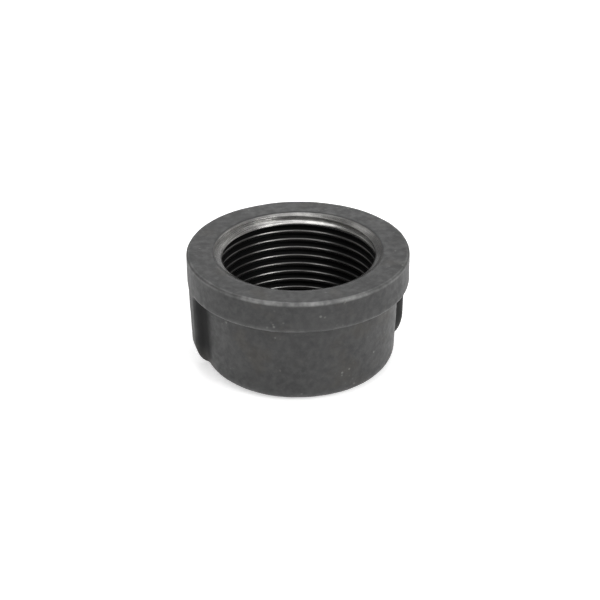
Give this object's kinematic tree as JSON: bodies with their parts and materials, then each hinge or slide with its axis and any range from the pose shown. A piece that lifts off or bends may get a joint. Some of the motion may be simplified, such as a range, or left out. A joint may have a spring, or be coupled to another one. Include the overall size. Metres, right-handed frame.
{
  "type": "pipe cap",
  "caption": "Round banded pipe cap with a closed end, wrench ribs down its sides and a tapered internal thread, which closes the end of a threaded pipe.",
  "frame": {"origin": "centre of the closed end's flat outer face, where the cap stands", "axes": "+Z along the thread's axis, out of the open end; the wrench ribs lie along +X and -X"},
  "size_m": [0.055, 0.055, 0.0295],
  "materials": {
    "black_iron": "matte"
  },
  "bodies": {
    "root": {"cap_casting": "black_iron"}
  },
  "joints": []
}
